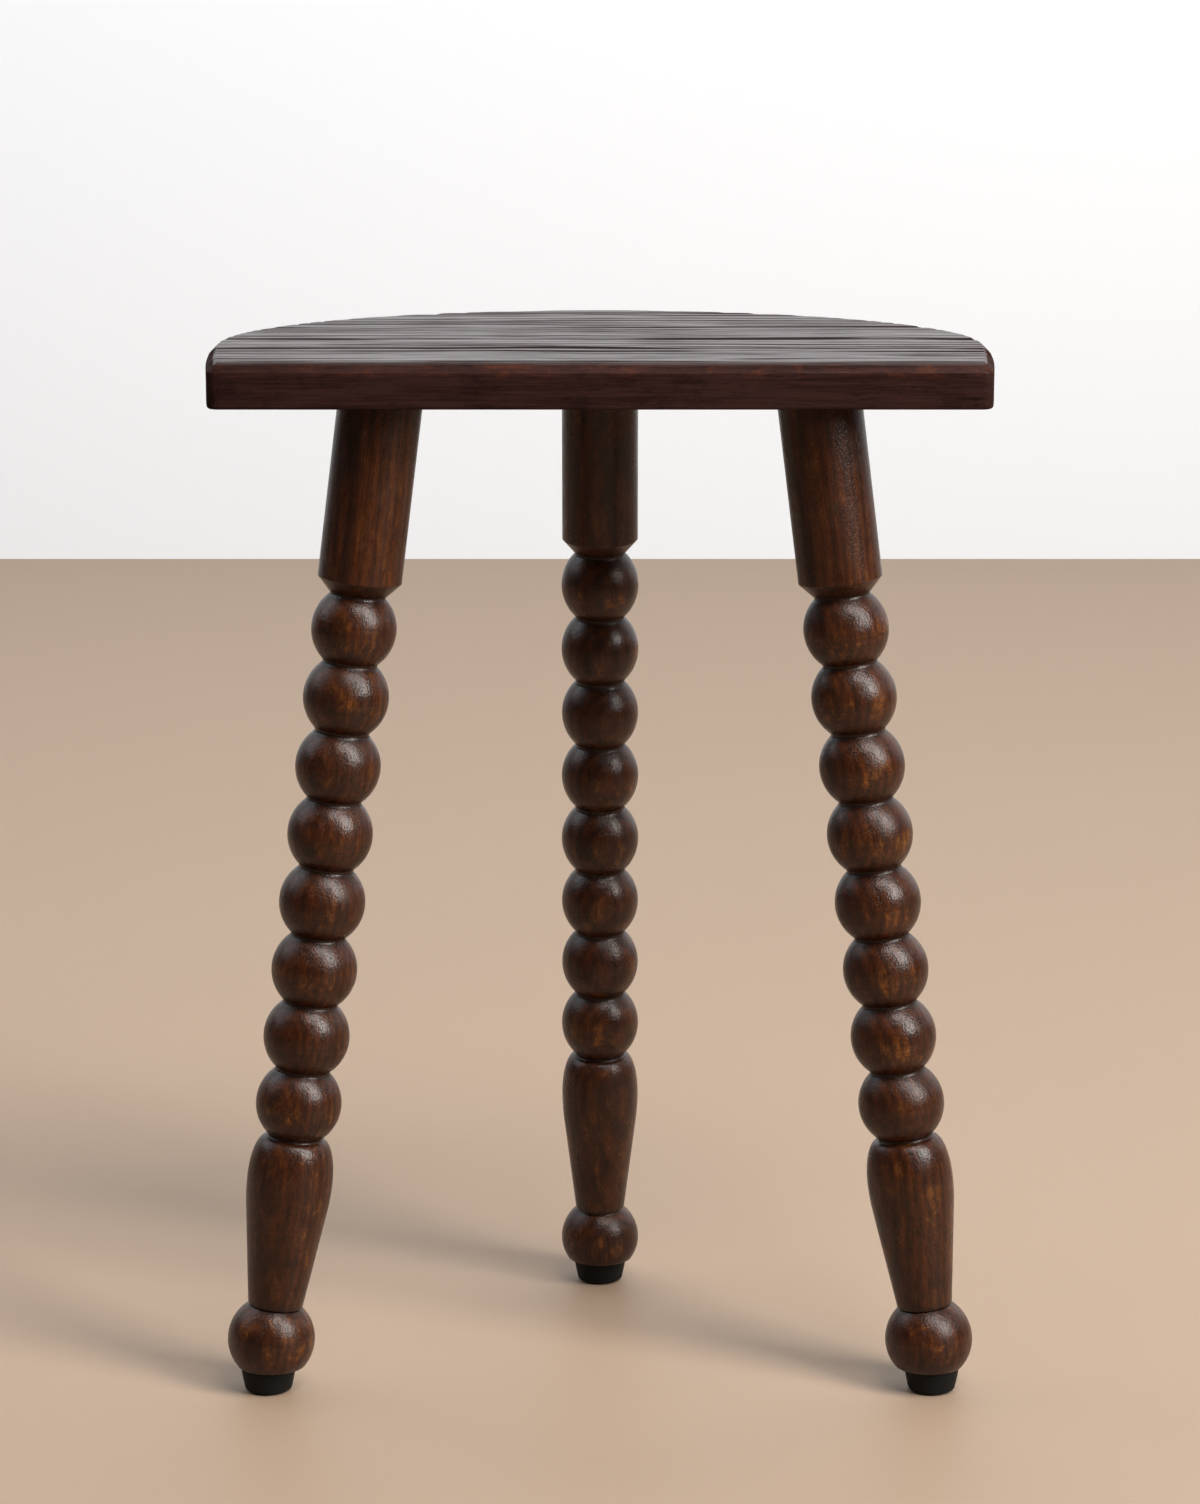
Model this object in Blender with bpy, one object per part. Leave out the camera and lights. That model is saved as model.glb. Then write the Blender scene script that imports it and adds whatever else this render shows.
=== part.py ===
"""Half-round stool on three bobbin-turned legs with screwed-on rubber feet.

Metres, +Z up, floor at z = 0. The straight edge of the board faces -Y, and the origin is on the
floor in the middle of the stool's bounding box.
"""

import math

import bmesh
import bpy
from mathutils import Vector

MM = 0.001

# Board: a half-round plan whose sides swell a little behind the straight edge.
SEAT_HEIGHT = 561 * MM
BOARD_THICKNESS = 24 * MM
STRAIGHT_EDGE = 400 * MM
WIDEST = 408 * MM
BOARD_DEPTH = 200 * MM
WIDEST_AT = 68 * MM  # distance of the widest line behind the straight edge
CORNER_RADIUS = 6 * MM
TOP_CHAMFER = 5 * MM
UNDERSIDE_EASE = 1.2 * MM
CORNER_STEPS = 4
SIDE_STEPS = 5
CURVE_STEPS = 44

# Legs: where each axis meets the underside, and how far it leans.
SIDE_LEG_X = 113.5 * MM
SIDE_LEG_INSET = 48 * MM  # behind the straight edge
REAR_LEG_INSET = 153.5 * MM
SIDE_SPLAY = math.radians(7.1)
FORWARD_SPLAY = math.radians(2.6)
REAR_SPLAY = math.radians(5.2)
SIDE_GIRTH = 1.0
REAR_GIRTH = 0.94  # the rear leg is turned slightly slimmer

# The turning, measured along the leg's axis from the underside of the board.
COLLAR_RADIUS = 22.1 * MM
COLLAR_END = 97 * MM
FIRST_NECK = 104.8 * MM
NECK_RADIUS = 14.6 * MM
BEAD_COUNT = 8
BEAD_PITCH = 36.84 * MM
BEAD_RADIUS = 22.5 * MM
BEAD_GROWTH = 0.06 * MM  # each bead is this much fuller than the one above
VASE_RADIUS = 22.9 * MM
VASE_SHOULDER = 24 * MM  # from the last neck to the widest ring
VASE_EASE = 16 * MM  # from the widest ring to the start of the straight taper
VASE_TAPER = 0.132
VASE_LENGTH = 94 * MM
ANKLE_RADIUS = 13.3 * MM
BALL_RADIUS = 23.4 * MM
LEG_STEPS = 24
BEAD_ARC_STEPS = 4
VASE_ARC_STEPS = 4
BALL_ARC_STEPS = 7

# Tenon and mortise.
TENON_RADIUS = 11 * MM
TENON_LENGTH = 16.5 * MM
TENON_ROOT = 12 * MM  # how far the tenon's blank reaches down into the collar

# Rubber foot and its fixing, all upright on the level-cut ball.
PAD_HEIGHT = 14 * MM
PAD_TOP_RADIUS = 14.8 * MM
PAD_BASE_RADIUS = 12.6 * MM
PAD_EDGE_ROUND = 2 * MM
RECESS_RADIUS = 6.5 * MM
RECESS_DEPTH = 8 * MM
WASHER_RADIUS = 6.1 * MM
WASHER_BORE = 2.4 * MM
WASHER_THICKNESS = 1.2 * MM
SCREW_HEAD_RADIUS = 4 * MM
SCREW_HEAD_HEIGHT = 2.6 * MM
SCREW_HEAD_FLAT = 0.62  # share of the head's radius that is flat underneath
SCREW_SHANK_RADIUS = 1.9 * MM
SCREW_GRIP = 22 * MM  # length of screw inside the wood
SCREW_POINT = 4 * MM
SLOT_WIDTH = 1.1 * MM
SLOT_LENGTH = 4.2 * MM
SLOT_DEPTH = 1.4 * MM
PAD_STEPS = 28
SMALL_STEPS = 20
QUARTER_TURN = (math.pi / 6, math.pi / 3, math.pi / 2)  # stops round a moulded edge

FIT_GAP = 0.3 * MM
CUTTER_SIZE = 200 * MM
UNDERSIDE = SEAT_HEIGHT - BOARD_THICKNESS
BALL_HEIGHT_BELOW = FIRST_NECK + BEAD_COUNT * BEAD_PITCH + VASE_LENGTH + math.sqrt(
    BALL_RADIUS**2 - ANKLE_RADIUS**2
)
REAR_BALL_Y = REAR_LEG_INSET + BALL_HEIGHT_BELOW * math.sin(REAR_SPLAY)
EDGE_Y = -(REAR_BALL_Y + BALL_RADIUS * REAR_GIRTH) / 2  # world y of the straight edge

# Colours are linear; each entry is colour, roughness, metallic.
FINISHES = {
    "board_wood": ((0.040, 0.019, 0.013), 0.42, 0.0),
    "leg_wood": ((0.075, 0.030, 0.014), 0.33, 0.0),
    "foot_rubber": ((0.010, 0.010, 0.011), 0.62, 0.0),
    "screw_steel": ((0.55, 0.55, 0.56), 0.32, 1.0),
}


def clear_scene():
    for obj in list(bpy.data.objects):
        bpy.data.objects.remove(obj, do_unlink=True)


def material(name):
    found = bpy.data.materials.get(name)
    if found:
        return found
    colour, roughness, metallic = FINISHES[name]
    made = bpy.data.materials.new(name)
    made.use_nodes = True
    shader = made.node_tree.nodes["Principled BSDF"]
    shader.inputs["Base Color"].default_value = (*colour, 1.0)
    shader.inputs["Roughness"].default_value = roughness
    shader.inputs["Metallic"].default_value = metallic
    made.diffuse_color = (*colour, 1.0)
    return made


def mesh_object(name, bm, finish=None):
    mesh = bpy.data.meshes.new(name)
    bm.to_mesh(mesh)
    bm.free()
    obj = bpy.data.objects.new(name, mesh)
    bpy.context.scene.collection.objects.link(obj)
    if finish:
        mesh.materials.append(material(finish))
        mesh.shade_smooth()
        mesh.set_sharp_from_angle(angle=math.radians(35))
    return obj


def helper(obj):
    """Marks a cutter or a blank that shapes another piece and is not one itself."""
    obj.hide_render = True
    obj.display_type = "WIRE"
    return obj


def combine(obj, other, operation):
    """Adds a Boolean that cuts the other object away or joins it on."""
    modifier = obj.modifiers.new(f"{operation.lower()} {other.name}", "BOOLEAN")
    modifier.operation = operation
    modifier.solver = "EXACT"
    modifier.object = other


def turned(name, profile, steps, finish=None):
    """Turns a closed or pole-to-pole profile of (radius, height) points round the Z axis.

    The profile runs top to bottom on the outer side, and a radius of 0 is a pole.
    """
    bm = bmesh.new()
    rings = []
    for radius, height in profile:
        if radius == 0:
            rings.append([bm.verts.new((0, 0, height))])
            continue
        angles = [2 * math.pi * i / steps for i in range(steps)]
        rings.append([bm.verts.new((radius * math.cos(a), radius * math.sin(a), height)) for a in angles])
    if profile[0][0] != 0:
        rings.append(rings[0])
    for upper, lower in zip(rings, rings[1:]):
        for i in range(steps):
            after = (i + 1) % steps
            corners = [upper[i % len(upper)], lower[i % len(lower)], lower[after % len(lower)],
                       upper[after % len(upper)]]
            bm.faces.new(list(dict.fromkeys(corners)))
    return mesh_object(name, bm, finish)


def arc(centre, radius, start, end, steps):
    """Points (r, z) on a circle whose centre is at height `centre` on the axis.

    The angles run from the axis's upper end, 0, to its lower end, pi.
    """
    angles = [start + (end - start) * i / steps for i in range(steps + 1)]
    return [(radius * math.sin(a), centre + radius * math.cos(a)) for a in angles]


def plan_point(t):
    """Corner-free plan outline: t from 0 to 1 on the side, then 1 to 2 round half of the curve.

    The side swells from the straight edge to the widest line as a parabola, and the curve behind
    it is a half-ellipse.
    """
    half, swell = WIDEST / 2, (WIDEST - STRAIGHT_EDGE) / 2
    if t <= 1:
        return Vector((half - swell * (1 - t) ** 2, WIDEST_AT * t))
    angle = (t - 1) * math.pi / 2
    return Vector((half * math.cos(angle), WIDEST_AT + (BOARD_DEPTH - WIDEST_AT) * math.sin(angle)))


def right_half_outline(inset):
    """Outline from the middle of the straight edge to the middle of the curve, moved in by inset."""
    radius = CORNER_RADIUS
    centre = Vector((STRAIGHT_EDGE / 2 - radius, radius))
    points = [Vector((0, inset))]
    for i in range(CORNER_STEPS + 1):
        angle = -math.pi / 2 + math.pi / 2 * i / CORNER_STEPS
        points.append(centre + (radius - inset) * Vector((math.cos(angle), math.sin(angle))))
    first = CORNER_RADIUS / WIDEST_AT
    stops = [first + (1 - first) * i / SIDE_STEPS for i in range(1, SIDE_STEPS + 1)]
    stops += [1 + 2 * i / CURVE_STEPS for i in range(1, CURVE_STEPS // 2 + 1)]
    tiny = 1e-4
    for t in stops:
        along = plan_point(t + tiny) - plan_point(t - tiny) if t < 2 else Vector((-1, 0))
        along.normalize()
        points.append(plan_point(t) + inset * Vector((-along.y, along.x)))
    points[-1].x = 0
    return points


def outline(inset):
    right = right_half_outline(inset)
    left = [Vector((-p.x, p.y)) for p in reversed(right[1:-1])]
    return right + left


def leg_axes():
    """Name, top point, direction down the axis and girth of each leg."""
    side_lean = math.tan(SIDE_SPLAY)
    side = (SIDE_LEG_X, EDGE_Y + SIDE_LEG_INSET)
    lean_forward = -math.tan(FORWARD_SPLAY)
    return [
        ("left", Vector((-side[0], side[1], UNDERSIDE)), Vector((-side_lean, lean_forward, -1)), SIDE_GIRTH),
        ("right", Vector((side[0], side[1], UNDERSIDE)), Vector((side_lean, lean_forward, -1)), SIDE_GIRTH),
        ("rear", Vector((0, EDGE_Y + REAR_LEG_INSET, UNDERSIDE)), Vector((0, math.tan(REAR_SPLAY), -1)),
         REAR_GIRTH),
    ]


def along_axis(obj, top, down):
    """Hangs an object that was modelled down from its own origin on a leg's axis."""
    obj.location = top
    obj.rotation_euler = Vector((0, 0, -1)).rotation_difference(down).to_euler()
    return obj


def block(name, low_z, high_z):
    """A wide box between two heights, which cuts a leg level."""
    bm = bmesh.new()
    bmesh.ops.create_cube(bm, size=1)
    bmesh.ops.scale(bm, vec=(4 * CUTTER_SIZE, 4 * CUTTER_SIZE, high_z - low_z), verts=bm.verts)
    bmesh.ops.translate(bm, vec=(0, 0, (low_z + high_z) / 2), verts=bm.verts)
    return helper(mesh_object(name, bm))


def seat_board():
    rings = [
        (UNDERSIDE, UNDERSIDE_EASE),
        (UNDERSIDE + UNDERSIDE_EASE, 0),
        (SEAT_HEIGHT - TOP_CHAMFER, 0),
        (SEAT_HEIGHT, TOP_CHAMFER),
    ]
    bm = bmesh.new()
    loops = [[bm.verts.new((p.x, EDGE_Y + p.y, z)) for p in outline(inset)] for z, inset in rings]
    for lower, upper in zip(loops, loops[1:]):
        for i in range(len(lower)):
            after = (i + 1) % len(lower)
            bm.faces.new((lower[i], lower[after], upper[after], upper[i]))
    bm.faces.new(list(reversed(loops[0])))
    bm.faces.new(loops[-1])
    board = mesh_object("seat_board", bm, "board_wood")
    radius = TENON_RADIUS + FIT_GAP
    depth = TENON_LENGTH + FIT_GAP
    for side, top, down, _ in leg_axes():
        mouth = -TENON_ROOT
        profile = [(0, depth), (radius, depth), (radius, mouth), (0, mouth)]
        mortise = helper(turned(f"{side}_mortise_cutter", profile, LEG_STEPS))
        combine(board, along_axis(mortise, top, down), "DIFFERENCE")


def turning_profile(girth):
    """Outer profile of a leg as (radius, height), from above the collar's cut to inside the pad."""
    above = COLLAR_RADIUS  # spare length that the level cut takes off
    points = [(0, above), (COLLAR_RADIUS, above), (COLLAR_RADIUS, -COLLAR_END)]
    for i in range(BEAD_COUNT):
        radius = BEAD_RADIUS + i * BEAD_GROWTH
        centre = -(FIRST_NECK + (i + 0.5) * BEAD_PITCH)
        cut = math.asin(NECK_RADIUS / radius)
        points += arc(centre, radius, cut, math.pi - cut, BEAD_ARC_STEPS)
    last_neck = -(FIRST_NECK + BEAD_COUNT * BEAD_PITCH)
    rise = VASE_RADIUS - NECK_RADIUS
    for i in range(VASE_ARC_STEPS + 1):
        u = math.sin(math.pi / 2 * i / VASE_ARC_STEPS)
        shoulder = math.sqrt(max(0, 1 - (1 - u) ** 2))
        points.append((NECK_RADIUS + rise * shoulder, last_neck - VASE_SHOULDER * u))
    for share in (0.5, 1.0):
        run = share * VASE_EASE
        drop = VASE_TAPER * run * share / 2
        points.append((VASE_RADIUS - drop, last_neck - VASE_SHOULDER - run))
    taper_run = VASE_LENGTH - VASE_SHOULDER - VASE_EASE
    end_radius = VASE_RADIUS - VASE_TAPER * (VASE_EASE / 2 + taper_run)
    points.append((end_radius, last_neck - VASE_LENGTH + FIT_GAP))
    cut = math.asin(ANKLE_RADIUS / BALL_RADIUS)
    points += arc(-BALL_HEIGHT_BELOW, BALL_RADIUS, cut, math.pi - cut / 2, BALL_ARC_STEPS)
    bottom = points[-1][1]
    return [(r * girth, z) for r, z in points] + [(0, bottom)]


def leg(side, top, down, girth, ceiling, floor):
    made = turned(f"{side}_leg", turning_profile(girth), LEG_STEPS, "leg_wood")
    along_axis(made, top, down)
    combine(made, ceiling, "DIFFERENCE")
    profile = [(0, TENON_LENGTH), (TENON_RADIUS, TENON_LENGTH), (TENON_RADIUS, -TENON_ROOT), (0, -TENON_ROOT)]
    tenon = helper(turned(f"{side}_tenon_blank", profile, LEG_STEPS))
    combine(made, along_axis(tenon, top, down), "UNION")
    combine(made, floor, "DIFFERENCE")
    radius = SCREW_SHANK_RADIUS + FIT_GAP
    high = PAD_HEIGHT + SCREW_GRIP + FIT_GAP
    profile = [(0, high), (radius, high), (radius, 0), (0, 0)]
    pilot = helper(turned(f"{side}_pilot_cutter", profile, SMALL_STEPS))
    pilot.location = foot_centre(top, down)
    combine(made, pilot, "DIFFERENCE")


def foot_centre(top, down):
    """Floor point under the place where the leg's axis meets the level cut."""
    reach = (top.z - PAD_HEIGHT) / -down.z
    point = top + down * reach
    return Vector((point.x, point.y, 0))


def foot_pad(side, centre):
    """Tapered rubber foot, open below for the screw and bored through above it."""
    bore = SCREW_SHANK_RADIUS + 2 * FIT_GAP
    top = PAD_HEIGHT - FIT_GAP
    ceiling = RECESS_DEPTH
    profile = [(bore, top), (PAD_TOP_RADIUS, top), (PAD_BASE_RADIUS, PAD_EDGE_ROUND)]
    profile += [
        (PAD_BASE_RADIUS - PAD_EDGE_ROUND * (1 - math.cos(a)), PAD_EDGE_ROUND * (1 - math.sin(a)))
        for a in QUARTER_TURN
    ]
    profile += [(RECESS_RADIUS, 0), (RECESS_RADIUS, ceiling), (bore, ceiling)]
    turned(f"{side}_foot_pad", profile, PAD_STEPS, "foot_rubber").location = centre


def foot_washer(side, centre):
    top = RECESS_DEPTH - FIT_GAP
    low = top - WASHER_THICKNESS
    profile = [(WASHER_BORE, top), (WASHER_RADIUS, top), (WASHER_RADIUS, low), (WASHER_BORE, low)]
    turned(f"{side}_foot_washer", profile, PAD_STEPS, "screw_steel").location = centre


def cross_cutter(side, centre, low):
    """Two crossed bars that cut the driver recess into the head from below."""
    long, wide = SLOT_LENGTH / 2, SLOT_WIDTH / 2
    arm = ((long, -wide), (long, wide), (wide, wide))
    plan = []
    for cos, sin in ((1, 0), (0, 1), (-1, 0), (0, -1)):
        plan += [(x * cos - y * sin, x * sin + y * cos) for x, y in arm]
    bm = bmesh.new()
    face = bm.faces.new([bm.verts.new((x, y, low - SLOT_DEPTH)) for x, y in plan])
    extruded = bmesh.ops.extrude_face_region(bm, geom=[face])["geom"]
    moved = [v for v in extruded if isinstance(v, bmesh.types.BMVert)]
    bmesh.ops.translate(bm, vec=(0, 0, 2 * SLOT_DEPTH), verts=moved)
    bmesh.ops.recalc_face_normals(bm, faces=bm.faces)
    cutter = helper(mesh_object(f"{side}_driver_cutter", bm))
    cutter.location = centre
    return cutter


def foot_screw(side, centre):
    """Pan-head screw, head down, standing through the washer and the pad into the ball."""
    seat = RECESS_DEPTH - 2 * FIT_GAP - WASHER_THICKNESS
    low = seat - SCREW_HEAD_HEIGHT
    tip = PAD_HEIGHT + SCREW_GRIP - FIT_GAP
    profile = [(0, tip), (SCREW_SHANK_RADIUS, tip - SCREW_POINT), (SCREW_SHANK_RADIUS, seat)]
    profile += [(SCREW_HEAD_RADIUS, seat), (SCREW_HEAD_RADIUS, seat - SCREW_HEAD_HEIGHT / 3)]
    for a in QUARTER_TURN:
        share = SCREW_HEAD_FLAT + (1 - SCREW_HEAD_FLAT) * math.cos(a)
        profile.append((SCREW_HEAD_RADIUS * share, seat - SCREW_HEAD_HEIGHT * (1 + 2 * math.sin(a)) / 3))
    profile.append((0, low))
    screw = turned(f"{side}_foot_screw", profile, SMALL_STEPS, "screw_steel")
    screw.location = centre
    combine(screw, cross_cutter(side, centre, low), "DIFFERENCE")


def main():
    clear_scene()
    seat_board()
    ceiling = block("underside_cutter", UNDERSIDE - FIT_GAP, UNDERSIDE + CUTTER_SIZE)
    floor = block("floor_cutter", -CUTTER_SIZE, PAD_HEIGHT)
    for side, top, down, girth in leg_axes():
        leg(side, top, down, girth, ceiling, floor)
        centre = foot_centre(top, down)
        foot_pad(side, centre)
        foot_washer(side, centre)
        foot_screw(side, centre)


main()
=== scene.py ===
# %% [markdown]
# # A half-round stool on three bobbin-turned legs
#
# The real stool is six pieces of joinery and a handful of hardware: a half-round board with a
# wire-brushed top, three legs turned on a lathe and glued into the board's underside, and under each
# leg a rubber foot held by a washer and a screw.
#
# Each piece is built as a surface worked out with numpy. Sizes that two pieces share come from the
# fixed frame, and the small shapes that only the eye sees are decided here.

# %% Load the fixed frame
import math

import bpy
import numpy as np
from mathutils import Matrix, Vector
from mathutils.geometry import delaunay_2d_cdt


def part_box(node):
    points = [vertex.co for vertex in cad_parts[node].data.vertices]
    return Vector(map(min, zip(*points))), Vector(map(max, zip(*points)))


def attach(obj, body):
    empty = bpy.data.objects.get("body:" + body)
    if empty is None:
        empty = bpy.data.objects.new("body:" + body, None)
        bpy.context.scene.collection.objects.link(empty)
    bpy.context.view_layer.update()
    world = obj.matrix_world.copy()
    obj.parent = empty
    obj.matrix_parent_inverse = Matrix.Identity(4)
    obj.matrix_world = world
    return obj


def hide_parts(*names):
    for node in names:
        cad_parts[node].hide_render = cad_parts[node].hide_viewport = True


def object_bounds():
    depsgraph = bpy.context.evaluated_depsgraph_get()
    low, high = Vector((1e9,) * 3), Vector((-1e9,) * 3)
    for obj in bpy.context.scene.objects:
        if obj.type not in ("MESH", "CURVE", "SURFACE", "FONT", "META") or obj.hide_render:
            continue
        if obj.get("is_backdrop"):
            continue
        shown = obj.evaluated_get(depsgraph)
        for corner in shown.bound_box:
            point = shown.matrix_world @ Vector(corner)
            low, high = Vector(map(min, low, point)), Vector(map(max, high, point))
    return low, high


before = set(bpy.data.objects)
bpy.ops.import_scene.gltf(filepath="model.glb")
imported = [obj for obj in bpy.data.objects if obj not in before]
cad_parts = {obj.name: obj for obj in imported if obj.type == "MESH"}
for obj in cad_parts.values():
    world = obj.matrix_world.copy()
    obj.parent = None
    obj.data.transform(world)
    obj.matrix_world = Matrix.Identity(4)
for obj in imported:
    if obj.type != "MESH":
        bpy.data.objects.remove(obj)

MM = 0.001
cad_low, cad_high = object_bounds()
print("frame size in mm:", [round((b - a) / MM, 1) for a, b in zip(cad_low, cad_high)])

# %% [markdown]
# ## The camera and the studio
#
# The camera looks from the front and from a little above the board, with a long lens from two and a
# half metres away, so that the legs keep their true proportions. It comes first, because every later
# choice of colour and relief is judged through it.

# %% Camera
def put_in_scene(name, data):
    """A new object at the origin, linked to the scene."""
    made = bpy.data.objects.new(name, data)
    bpy.context.scene.collection.objects.link(made)
    return made


TILT_DOWN = math.radians(13.25)
CAMERA_BACK = 2.402  # from the board's straight edge
CAMERA_HEIGHT = 0.924
LENS_MM = 114.2
SENSOR_MM = 36

camera_data = bpy.data.cameras.new("camera")
camera_data.lens = LENS_MM
camera_data.sensor_width = SENSOR_MM
camera = put_in_scene("camera", camera_data)
camera.location = (0.0, cad_low.y - CAMERA_BACK, CAMERA_HEIGHT)
camera.rotation_euler = (math.pi / 2 - TILT_DOWN, 0, 0)
bpy.context.scene.camera = camera
print("camera stands at", [round(v, 3) for v in camera.location])

# %% [markdown]
# ## Floor, wall and lights
#
# The floor is plain and pale with a little warmth, since the turned wood mirrors it in the lower half
# of every bead. The wall behind is plain white. Nothing stands in front of the stool, so dark wood
# facing the camera stays dark, while big soft panels at both sides draw the pale lines along the edges
# of the legs. A tall window and a high softbox, both on the right, give each bead its soft highlight.

# %% Floor, wall and light helpers
FLOOR_TONE = (0.335, 0.240, 0.166)
WALL_TONE = (0.780, 0.820, 0.862)
WALL_BEHIND = 2.16
WALL_HEIGHT = 4
STAGE_HALF = 4.0


def stage_plane(name, corners, colour, roughness):
    """One flat sheet of the studio, given by its four corners and painted in one colour."""
    paint = bpy.data.materials.new(f"{name}_paint")
    paint.use_nodes = True
    shader = paint.node_tree.nodes["Principled BSDF"]
    shader.inputs["Base Color"].default_value = (*colour, 1)
    shader.inputs["Roughness"].default_value = roughness
    mesh = bpy.data.meshes.new(name)
    mesh.from_pydata(corners, [], [(0, 1, 2, 3)])
    mesh.materials.append(paint)
    put_in_scene(name, mesh)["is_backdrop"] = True


def soft_panel(name, place, aim, size, watts, colour=(1, 1, 1)):
    """A rectangular light that faces the point it is aimed at."""
    data = bpy.data.lights.new(name, "AREA")
    data.shape = "RECTANGLE"
    data.size, data.size_y = size
    data.energy = watts
    data.color = colour
    panel = put_in_scene(name, data)
    panel.location = place
    panel.rotation_euler = (Vector(aim) - Vector(place)).to_track_quat("-Z", "Y").to_euler()


wall_y = cad_high.y + WALL_BEHIND
front = cad_low.y - STAGE_HALF
left, right = -STAGE_HALF, STAGE_HALF
floor_end = [(right, wall_y, 0), (left, wall_y, 0)]
wall_top = [(right, wall_y, WALL_HEIGHT), (left, wall_y, WALL_HEIGHT)]
stage_plane("studio_floor", [(left, front, 0), (right, front, 0)] + floor_end, FLOOR_TONE, 0.55)
stage_plane("studio_wall", floor_end[::-1] + wall_top, WALL_TONE, 0.9)
print("the wall stands", round(wall_y, 2), "m behind the middle of the stool")

# %% Lights
AIM = (0, 0, 0.3)
soft_panel("tall_window", (2.1, -1.56, 2.3), (0, 0, 2.3), (1.1, 2.5), 178, (1.0, 0.97, 0.93))
soft_panel("high_softbox", (0.8, -1.3, 3.0), AIM, (1.5, 1.0), 60, (1.0, 0.96, 0.94))
soft_panel("left_panel", (-2.2, 0.6, 2.0), AIM, (2.0, 1.8), 23, (0.90, 0.93, 1.0))
soft_panel("right_panel", (2.3, 1.3, 1.3), AIM, (1.8, 1.8), 8, (0.93, 0.96, 1.0))
soft_panel("top_panel", (0, 0.3, 2.6), (0, 0.3, 0), (2.4, 2.0), 10)
soft_panel("wall_wash", (0, 0.9, 2.6), (0, wall_y, 1.0), (3.4, 0.6), 19)

world = bpy.data.worlds.new("studio_air")
world.use_nodes = True
air = world.node_tree.nodes["Background"]
air.inputs["Color"].default_value = (0.9, 0.95, 1.0, 1)
air.inputs["Strength"].default_value = 0.07
bpy.context.scene.world = world
bpy.context.scene.view_settings.view_transform = "Standard"

# %% [markdown]
# ## Tools of the lesson
#
# A turned piece is a grid of points: rows run down the piece and columns run round it. One function
# turns such a grid into a closed mesh, with a pole at either end, so that the piece has no hole.
#
# Hand work and growing wood are never quite even. The unevenness comes from a smooth noise, whose
# random numbers are seeded, so the stool comes out the same each time.


# %% Smooth noise on a grid of cells
NOISE_CELLS = 97  # the noise repeats after this many cells


def smooth_noise(x, y, cell_x, cell_y, seed):
    """Noise from -1 to 1. It blends four corner values with s(t) = t * t * (3 - 2 * t) on both axes."""
    n = NOISE_CELLS
    table = np.random.default_rng(seed).uniform(-1, 1, (n, n))
    u, v = np.asarray(x) / cell_x, np.asarray(y) / cell_y
    i, j = np.floor(u).astype(int), np.floor(v).astype(int)
    a, b = u - i, v - j
    a, b = a * a * (3 - 2 * a), b * b * (3 - 2 * b)
    near = table[i % n, j % n] * (1 - a) + table[(i + 1) % n, j % n] * a
    far = table[i % n, (j + 1) % n] * (1 - a) + table[(i + 1) % n, (j + 1) % n] * a
    return near * (1 - b) + far * b


def ease(low, high, value):
    """An S-curve that is 0 below low and 1 above high."""
    t = np.clip((value - low) / (high - low), 0, 1)
    return t * t * (3 - 2 * t)


def angles_round(count):
    """Angles evenly round a circle, without the last one."""
    return np.linspace(0, 2 * math.pi, count, endpoint=False)


print("noise at one place:", round(float(smooth_noise(0.3, 0.7, 1, 1, 1)), 3))


# %% From arrays to a mesh
def mesh_from_arrays(name, points, quads, tris=None):
    """Puts points and faces into a mesh with foreach_set."""
    tris = np.empty((0, 3), int) if tris is None else tris
    mesh = bpy.data.meshes.new(name)
    mesh.vertices.add(len(points))
    mesh.vertices.foreach_set("co", np.ascontiguousarray(points, np.float32).ravel())
    corners = np.concatenate([quads.ravel(), tris.ravel()]).astype(np.int32)
    mesh.loops.add(len(corners))
    mesh.loops.foreach_set("vertex_index", corners)
    starts = np.concatenate([np.arange(len(quads)) * 4, len(quads) * 4 + np.arange(len(tris)) * 3])
    mesh.polygons.add(len(starts))
    mesh.polygons.foreach_set("loop_start", starts.astype(np.int32))
    mesh.update(calc_edges=True)
    mesh.validate()
    mesh.shade_smooth()
    return mesh


def ring_faces(rows, columns, first=0):
    """Quads between the rows of a grid that closes on itself, facing outwards when rows run down."""
    row, column = np.meshgrid(np.arange(rows - 1), np.arange(columns), indexing="ij")
    after = (column + 1) % columns
    here, below = first + row * columns, first + (row + 1) * columns
    return np.stack([here + column, below + column, below + after, here + after], -1).reshape(-1, 4)


def closed_skin(name, grid):
    """Closes a grid of rings with a pole at the middle of its first and of its last ring."""
    rows, columns = grid.shape[:2]
    points = np.concatenate([grid.reshape(-1, 3), grid[:1].mean(1), grid[-1:].mean(1)])
    quads = ring_faces(rows, columns)
    top, bottom = rows * columns, rows * columns + 1
    i = np.arange(columns)
    after = (i + 1) % columns
    last = (rows - 1) * columns
    upper = np.stack([np.full(columns, top), i, after], -1)
    lower = np.stack([np.full(columns, bottom), last + after, last + i], -1)
    return mesh_from_arrays(name, points, quads, np.concatenate([upper, lower]))


def add_value(mesh, name, values):
    """Stores one number per point, which a material can read by its name."""
    layer = mesh.attributes.new(name, "FLOAT", "POINT")
    layer.data.foreach_set("value", np.ascontiguousarray(values, np.float32).ravel())


def add_place(mesh, name, vectors):
    """Stores one vector per point, which a material can read by its name."""
    layer = mesh.attributes.new(name, "FLOAT_VECTOR", "POINT")
    layer.data.foreach_set("vector", np.ascontiguousarray(vectors, np.float32).ravel())


def install(name, mesh, finish, node):
    """Links a finished piece, which stands for one node of the frame and takes its finish's slot."""
    mesh.materials.append(finish)
    piece = put_in_scene(name, mesh)
    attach(piece, "root")
    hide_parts(node)
    triangles = sum(len(p.vertices) - 2 for p in mesh.polygons)
    print(f"{name}: {len(mesh.vertices)} points, {triangles} triangles")


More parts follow.
